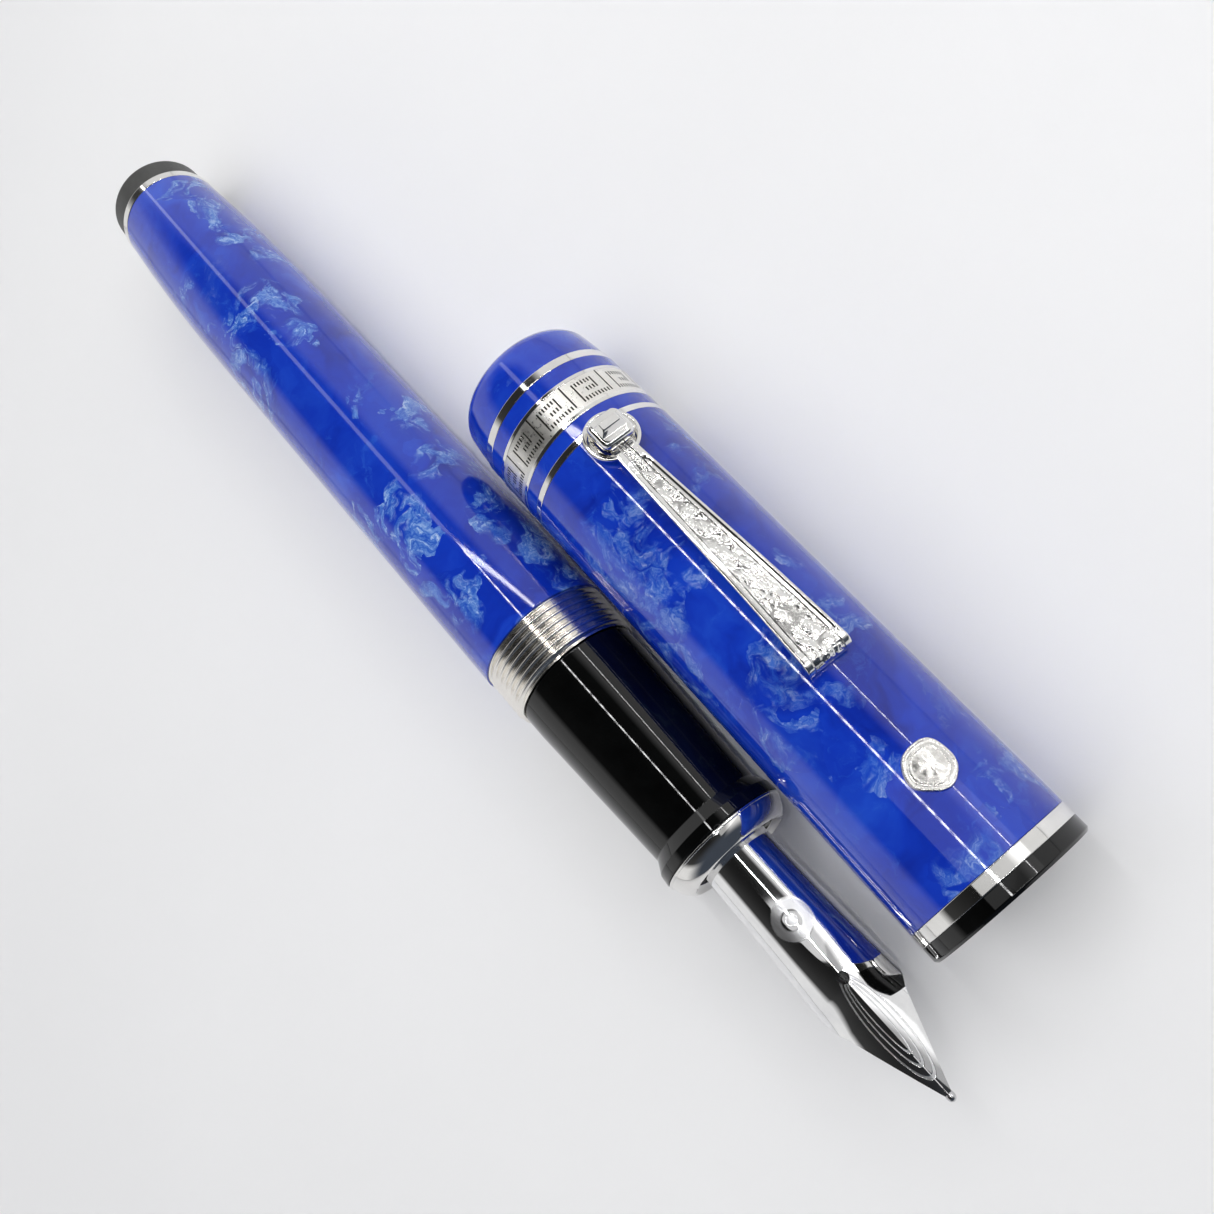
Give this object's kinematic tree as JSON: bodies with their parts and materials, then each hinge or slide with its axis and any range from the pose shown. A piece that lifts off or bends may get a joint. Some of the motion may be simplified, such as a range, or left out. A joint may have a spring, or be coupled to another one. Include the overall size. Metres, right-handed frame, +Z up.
{
  "type": "fountain pen",
  "caption": "Uncapped fountain pen in marbled resin with a rolled metal nib, threaded collar and touchdown filler, lying beside its screw cap with a roller clip and key-pattern band.",
  "frame": {"origin": "on the table, at the middle of the footprint of the pen and its cap together", "axes": "+X along the pen from tail to nib, +Y across towards the cap, +Z up from the table"},
  "size_m": [0.134, 0.0316, 0.018],
  "materials": {
    "blue_resin": "polished, marbled in blues with pearly chips",
    "black_resin": "high gloss",
    "satin_black": "satin",
    "feed_black": "satin",
    "liner_plastic": "satin",
    "polished_metal": "polished silver-coloured plating",
    "band_metal": "polished with engraved work",
    "nib_metal": "mirror polished",
    "tipping_metal": "ground smooth",
    "tube_metal": "drawn tube",
    "seal_rubber": "matt"
  },
  "bodies": {
    "barrel": {"barrel": "blue_resin", "tail_trim_ring": "polished_metal", "barrel_seal_ring": "seal_rubber", "thread_collar": "polished_metal"},
    "filler": {"touchdown_tube": "tube_metal"},
    "knob": {"tail_knob": "satin_black"},
    "sac_unit": {"sac_guard": "tube_metal", "ink_sac": "seal_rubber", "sac_nipple": "black_resin"},
    "grip": {"grip_section": "black_resin", "grip_front_ring": "polished_metal"},
    "nib_unit": {"nib_housing": "feed_black", "feed": "feed_black", "breather_tube": "tube_metal", "nib": "nib_metal", "nib_tipping": "tipping_metal"},
    "cap": {"cap_crown": "blue_resin", "crown_ring": "polished_metal", "upper_spacer": "blue_resin", "key_band": "band_metal", "lower_spacer": "blue_resin", "clip_ring": "polished_metal", "cap_tube": "blue_resin", "lip_band": "polished_metal", "cap_lip": "black_resin", "inner_liner": "liner_plastic", "clip_knob": "polished_metal", "seal_disc": "band_metal"},
    "clip": {"clip": "polished_metal", "roller_axle": "polished_metal"},
    "roller": {"clip_roller": "polished_metal"}
  },
  "joints": [
    {"name": "filler_pull", "type": "slide", "parent": "barrel", "child": "filler", "axis": [-1, 0, 0], "range_m": [0, 0.05]},
    {"name": "knob_turn", "type": "hinge", "parent": "filler", "child": "knob", "pos_m": [-0.067, -0.00875, 0.0071], "axis": [1, 0, 0], "continuous": true},
    {"name": "grip_advance", "type": "slide", "parent": "barrel", "child": "sac_unit", "axis": [1, 0, 0], "range_m": [0, 0.0064]},
    {"name": "grip_turn", "type": "hinge", "parent": "sac_unit", "child": "grip", "pos_m": [0.0184, -0.00875, 0.0071], "axis": [1, 0, 0], "range_deg": [0, 2880]},
    {"name": "nib_unit_pull", "type": "slide", "parent": "grip", "child": "nib_unit", "axis": [1, 0, 0], "range_m": [0, 0.05]},
    {"name": "cap_slide", "type": "slide", "parent": "barrel", "child": "cap", "axis": [0, 1, 0], "range_m": [0, 0.06]},
    {"name": "clip_lift", "type": "hinge", "parent": "cap", "child": "clip", "pos_m": [0.00956, 0.01205, 0.01541], "axis": [-0.0181, -0.8597, 0.5105], "range_deg": [0, 4], "stiffness_Nm_per_rad": 2.4},
    {"name": "roller_spin", "type": "hinge", "parent": "clip", "child": "roller", "pos_m": [0.03526, 0.01146, 0.01533], "axis": [0.0181, 0.8597, -0.5105], "continuous": true}
  ],
  "couplings": [
    {"joint": "grip_turn", "follows": "grip_advance", "rad_per_m": 7854}
  ]
}
